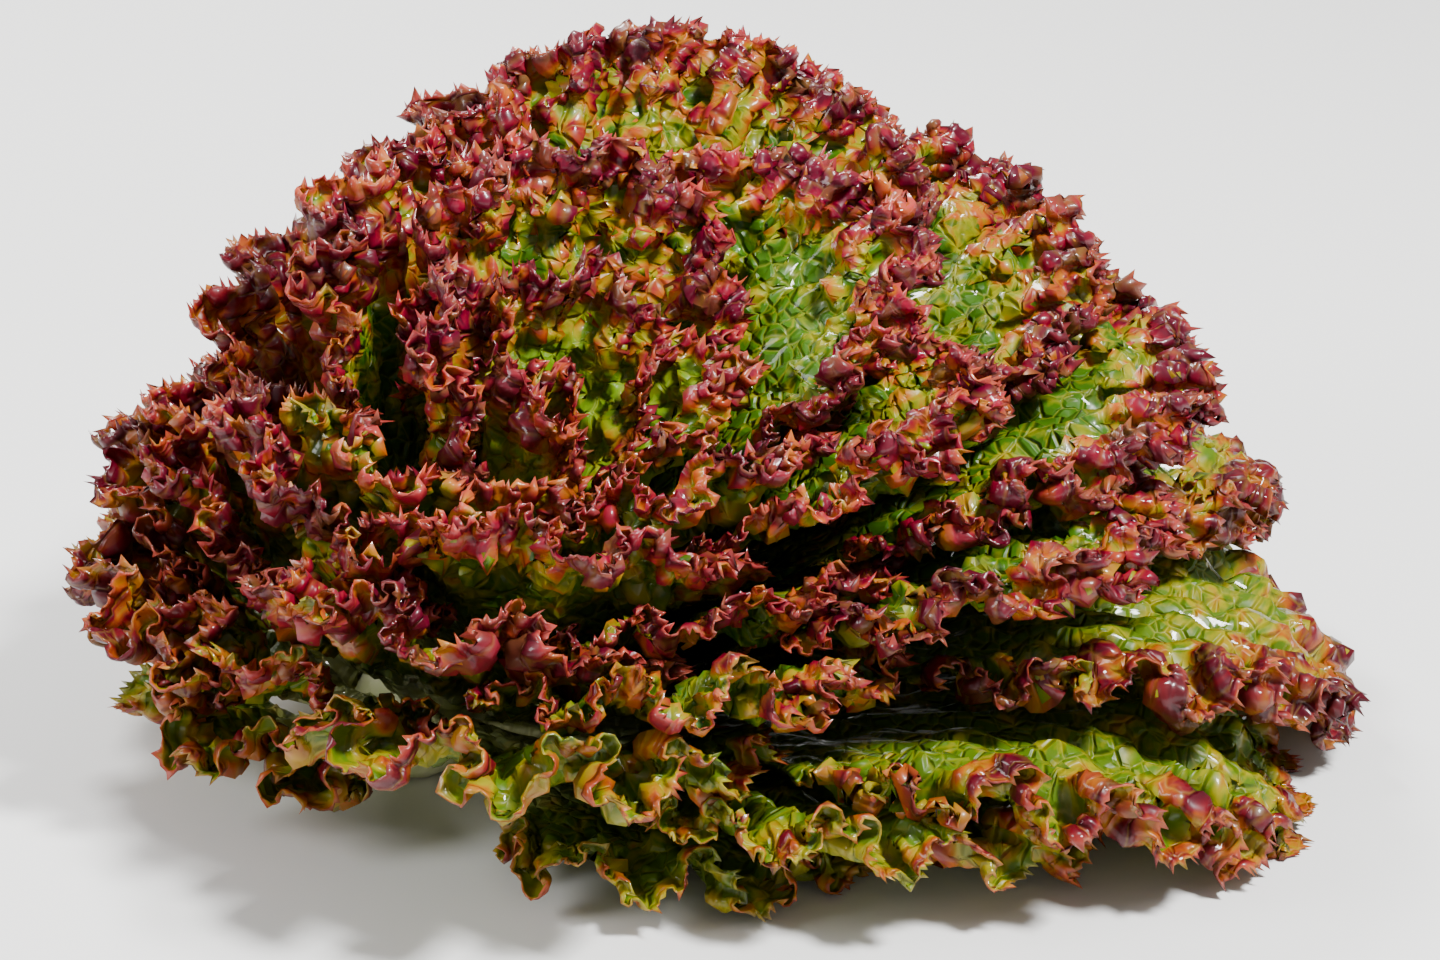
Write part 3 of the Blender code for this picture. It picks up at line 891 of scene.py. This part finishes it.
def stem_piece(shift):
    """The stem with a rounded rim and a hollowed cut face."""
    openings = np.radians(np.linspace(DOME_START, STEM_DOME_END, DOME_RINGS))
    rows = stem_rows(openings, CUT_SIDES) + shift
    rim = rows[-1]
    middle = rim.mean(axis=0)
    into = rows[0].mean(axis=0) - middle
    into /= np.linalg.norm(into)
    sunk = [middle + (rim - middle) * share + into * depth for share, depth in CUT_RINGS]
    rows = np.concatenate([rows, np.array(sunk)])
    index = np.arange(len(rows) * CUT_SIDES).reshape(len(rows), CUT_SIDES)
    after = np.roll(index, -1, axis=1)
    sides = np.stack([index[:-1], index[1:], after[1:], after[:-1]], axis=-1)
    faces = sides.reshape(-1, 4).tolist() + [index[0].tolist(), index[-1, ::-1].tolist()]
    mesh = bpy.data.meshes.new("stem_cut")
    mesh.from_pydata(rows.reshape(-1, 3).tolist(), [], faces)
    mesh.polygons.foreach_set("use_smooth", [True] * len(mesh.polygons))
    cut_share = np.zeros(rows.shape)
    cut_share[-len(sunk) :, :, 0] = 1.0
    attribute = mesh.attributes.new("stem_cut_face", "FLOAT_VECTOR", "POINT")
    attribute.data.foreach_set("vector", cut_share.astype(np.float32).ravel())
    thing = bpy.data.objects.new("stem_cut", mesh)
    bpy.context.scene.collection.objects.link(thing)
    return thing


def stem_material():
    """Pale ribbed skin, and a cut face that has gone brown."""
    n = Nodes("lettuce_stem")
    place = n.add("ShaderNodeTexCoord").outputs["Object"]
    _, cut = n.attribute("stem_cut_face")
    fibres = n.noise(place, STEM_FIBRES, 4.0)
    blotches = n.spread(n.noise(place, STEM_BLOTCHES, 3.0), *BLOTCH_RANGE)
    colour = n.mix(cut[0], n.mix(blotches, *STEM_SKIN), n.mix(blotches, *STEM_CUT))
    n.put(n.surface.inputs["Base Color"], colour)
    n.put(n.surface.inputs["Normal"], n.bump(fibres, FIBRE_RELIEF, FIBRE_DEPTH))
    n.put(n.surface.inputs["Roughness"], n.spread(fibres, *NOISE_RANGE, *STEM_ROUGHNESS))
    return n.material


def studio_floor():
    """A plain pale floor just below the head."""
    mesh = bpy.data.meshes.new("floor")
    half = FLOOR_HALF
    corners = [(-half, -half, 0), (half, -half, 0), (half, half, 0), (-half, half, 0)]
    mesh.from_pydata(corners, [], [(0, 1, 2, 3)])
    floor = bpy.data.objects.new("floor", mesh)
    floor.location.z = -FLOOR_GAP
    bpy.context.scene.collection.objects.link(floor)
    n = Nodes("studio_floor")
    n.surface.inputs["Base Color"].default_value = FLOOR_COLOUR
    n.surface.inputs["Roughness"].default_value = FLOOR_ROUGHNESS
    mesh.materials.append(n.material)


def studio_lights():
    """An even sky and three soft lights."""
    world = bpy.data.worlds.new("studio")
    world.use_nodes = True
    background = world.node_tree.nodes["Background"]
    background.inputs["Color"].default_value = SKY_COLOUR
    background.inputs["Strength"].default_value = SKY_STRENGTH
    bpy.context.scene.world = world
    for name, place, size, power in LIGHTS:
        data = bpy.data.lights.new(name, "AREA")
        data.size = size
        data.energy = power
        light = bpy.data.objects.new(name, data)
        light.location = place
        aim(light, LIGHT_TARGET)
        bpy.context.scene.collection.objects.link(light)


def aim(thing, target):
    thing.rotation_euler = (target - thing.location).to_track_quat("-Z", "Y").to_euler()


def camera():
    """The camera at the photograph's angle."""
    data = bpy.data.cameras.new("camera")
    data.lens = CAMERA_LENS
    data.sensor_width = CAMERA_SENSOR
    data.clip_start = CAMERA_NEAREST
    thing = bpy.data.objects.new("camera", data)
    rise = math.radians(CAMERA_ELEVATION)
    thing.location = CAMERA_TARGET + CAMERA_DISTANCE * Vector((0, -math.cos(rise), math.sin(rise)))
    aim(thing, CAMERA_TARGET)
    bpy.context.scene.collection.objects.link(thing)
    bpy.context.scene.camera = thing


def main():
    camera()
    studio_floor()
    studio_lights()
    shift = head_shift()
    leaves = [Leaf(*row) for row in LEAVES]
    materials = {slot: leaf_material(slot) for slot in RAMPS}
    for leaf in leaves:
        piece = leaf_piece(leaf, leaves, shift)
        piece.data.materials.append(materials[leaf.slot])
        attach(piece, "root")
        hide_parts(leaf.name)
    stem = stem_piece(shift)
    stem.data.materials.append(stem_material())
    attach(stem, "root")
    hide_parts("stem")


main()
